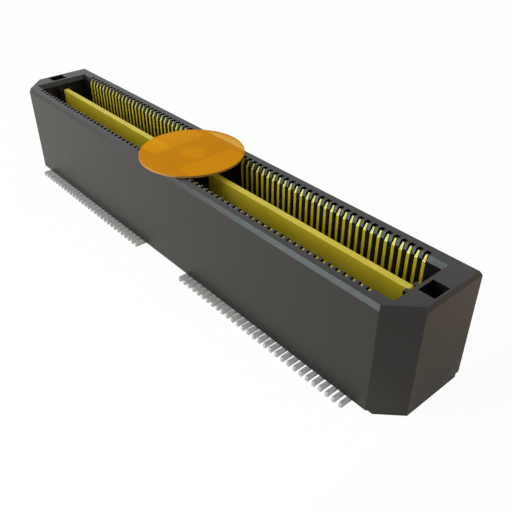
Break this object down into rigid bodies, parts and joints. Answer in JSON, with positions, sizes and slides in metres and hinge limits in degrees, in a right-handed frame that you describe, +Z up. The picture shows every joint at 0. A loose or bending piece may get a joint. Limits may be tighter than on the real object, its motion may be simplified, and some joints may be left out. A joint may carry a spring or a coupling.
{
  "type": "board to board connector socket",
  "caption": "Tall surface-mount board-to-board socket with two banks of contact rows, centre ground blades and a round pick-and-place film.",
  "frame": {"origin": "on the board plane, under the middle of the housing", "axes": "+X along the contact rows, +Y across the housing away from its two big corner chamfers, +Z up from the board to the mating face"},
  "size_m": [0.04, 0.0072, 0.0074],
  "materials": {
    "housing_plastic": "moulded dark grey, nearly black, satin",
    "contact_plating": "gold plated finger, grey tin plated solder tail",
    "blade_plating": "gold plated, smooth",
    "amber_film": "translucent amber film"
  },
  "bodies": {
    "root": {"contacts_back_bank1_1": "contact_plating", "contacts_back_bank1_2": "contact_plating", "contacts_back_bank1_3": "contact_plating", "contacts_back_bank1_4": "contact_plating", "contacts_back_bank1_5": "contact_plating", "contacts_back_bank1_6": "contact_plating", "contacts_back_bank2_1": "contact_plating", "contacts_back_bank2_2": "contact_plating", "contacts_back_bank2_3": "contact_plating", "contacts_back_bank2_4": "contact_plating", "contacts_back_bank2_5": "contact_plating", "contacts_back_bank2_6": "contact_plating", "contacts_front_bank1_1": "contact_plating", "contacts_front_bank1_2": "contact_plating", "contacts_front_bank1_3": "contact_plating", "contacts_front_bank1_4": "contact_plating", "contacts_front_bank1_5": "contact_plating", "contacts_front_bank1_6": "contact_plating", "contacts_front_bank2_1": "contact_plating", "contacts_front_bank2_2": "contact_plating", "contacts_front_bank2_3": "contact_plating", "contacts_front_bank2_4": "contact_plating", "contacts_front_bank2_5": "contact_plating", "contacts_front_bank2_6": "contact_plating", "ground_blade_1": "blade_plating", "ground_blade_2": "blade_plating", "housing": "housing_plastic", "pick_and_place_pad": "amber_film"}
  },
  "joints": []
}
